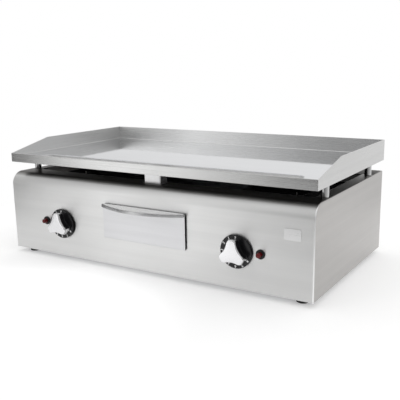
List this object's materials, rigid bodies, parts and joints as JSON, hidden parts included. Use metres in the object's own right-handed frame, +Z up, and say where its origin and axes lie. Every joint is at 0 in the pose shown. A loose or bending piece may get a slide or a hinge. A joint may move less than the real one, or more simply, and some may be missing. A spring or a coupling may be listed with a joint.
{
  "type": "countertop gas griddle",
  "caption": "Countertop gas griddle with a flat chromed plate on posts over a stainless housing, splash walls, grease drawer and turning control knobs.",
  "frame": {"origin": "on the worktop, under the middle of the footprint", "axes": "+Z up, +Y from the front panel towards the back, +X to the right of a cook who stands in front of it"},
  "size_m": [0.803, 0.509, 0.2775],
  "materials": {
    "brushed_stainless": "fine horizontal grain, satin",
    "polished_stainless": "bright polished",
    "zinc_steel": "dull zinc plated",
    "hard_chrome": "mirror bright hard chrome",
    "black_enamel": "matte heat-resistant black",
    "cast_iron": "matte, dark",
    "fastener_steel": "plain",
    "brass": "machined",
    "bright_steel": "drawn bright",
    "black_gloss": "glossy black",
    "satin_chrome": "satin chrome",
    "red_button": "glossy dark red",
    "black_plastic": "matte black",
    "lead_sleeve": "silicone sleeve",
    "copper": "drawn copper",
    "white_ceramic": "unglazed",
    "rubber": "matte black"
  },
  "bodies": {
    "housing": {"badge_plate": "polished_stainless", "base_pan": "zinc_steel", "burner_carrier": "zinc_steel", "burner_left": "cast_iron", "burner_right": "cast_iron", "drawer_guide_left": "zinc_steel", "drawer_guide_right": "zinc_steel", "electrodes": "white_ceramic", "feet": "rubber", "foot_screws": "fastener_steel", "front_fascia": "brushed_stainless", "front_panel": "brushed_stainless", "gas_inlet": "brass", "gas_rail": "bright_steel", "grease_spout": "polished_stainless", "griddle_plate": "hard_chrome", "gutter_trough": "brushed_stainless", "heat_shield_front": "black_enamel", "heat_shield_left": "black_enamel", "heat_shield_rear": "black_enamel", "heat_shield_right": "black_enamel", "igniter_body_left": "black_plastic", "igniter_body_right": "black_plastic", "igniter_nuts": "fastener_steel", "ignition_lead_left": "lead_sleeve", "ignition_lead_right": "lead_sleeve", "injectors": "brass", "mixer_tube_left": "zinc_steel", "mixer_tube_right": "zinc_steel", "post_bolts": "fastener_steel", "post_front_left": "polished_stainless", "post_front_right": "polished_stainless", "post_rear_left": "polished_stainless", "post_rear_right": "polished_stainless", "rear_panel": "brushed_stainless", "rear_screws": "fastener_steel", "side_panel_left": "brushed_stainless", "side_panel_right": "brushed_stainless", "splash_back": "brushed_stainless", "splash_left": "brushed_stainless", "splash_right": "brushed_stainless", "thermocouple_left": "copper", "thermocouple_right": "copper", "valve_body_left": "brass", "valve_body_right": "brass", "valve_bonnets": "brass", "valve_screws": "fastener_steel"},
    "drawer": {"drawer_front": "brushed_stainless", "drawer_handle": "polished_stainless", "drawer_pan": "brushed_stainless"},
    "plug_left": {"valve_plug_left": "brass"},
    "knob_left": {"spindle_left": "bright_steel", "knob_dial_left": "black_gloss", "knob_cap_left": "satin_chrome"},
    "button_left": {"igniter_button_left": "red_button"},
    "plug_right": {"valve_plug_right": "brass"},
    "knob_right": {"spindle_right": "bright_steel", "knob_dial_right": "black_gloss", "knob_cap_right": "satin_chrome"},
    "button_right": {"igniter_button_right": "red_button"}
  },
  "joints": [
    {"name": "drawer_slide", "type": "slide", "parent": "housing", "child": "drawer", "axis": [0, -1, 0], "range_m": [0, 0.15]},
    {"name": "valve_turn_left", "type": "hinge", "parent": "housing", "child": "plug_left", "pos_m": [-0.235, -0.2155, 0.092], "axis": [0, 1, 0], "range_deg": [0, 240]},
    {"name": "knob_push_left", "type": "slide", "parent": "plug_left", "child": "knob_left", "axis": [0, 1, 0], "range_m": [0, 0.0028], "stiffness_N_per_m": 1500, "springref_m": -0.004},
    {"name": "igniter_push_left", "type": "slide", "parent": "housing", "child": "button_left", "axis": [0, 1, 0], "range_m": [0, 0.007], "stiffness_N_per_m": 1200, "springref_m": -0.004},
    {"name": "valve_turn_right", "type": "hinge", "parent": "housing", "child": "plug_right", "pos_m": [0.235, -0.2155, 0.092], "axis": [0, 1, 0], "range_deg": [0, 240]},
    {"name": "knob_push_right", "type": "slide", "parent": "plug_right", "child": "knob_right", "axis": [0, 1, 0], "range_m": [0, 0.0028], "stiffness_N_per_m": 1500, "springref_m": -0.004},
    {"name": "igniter_push_right", "type": "slide", "parent": "housing", "child": "button_right", "axis": [0, 1, 0], "range_m": [0, 0.007], "stiffness_N_per_m": 1200, "springref_m": -0.004}
  ]
}
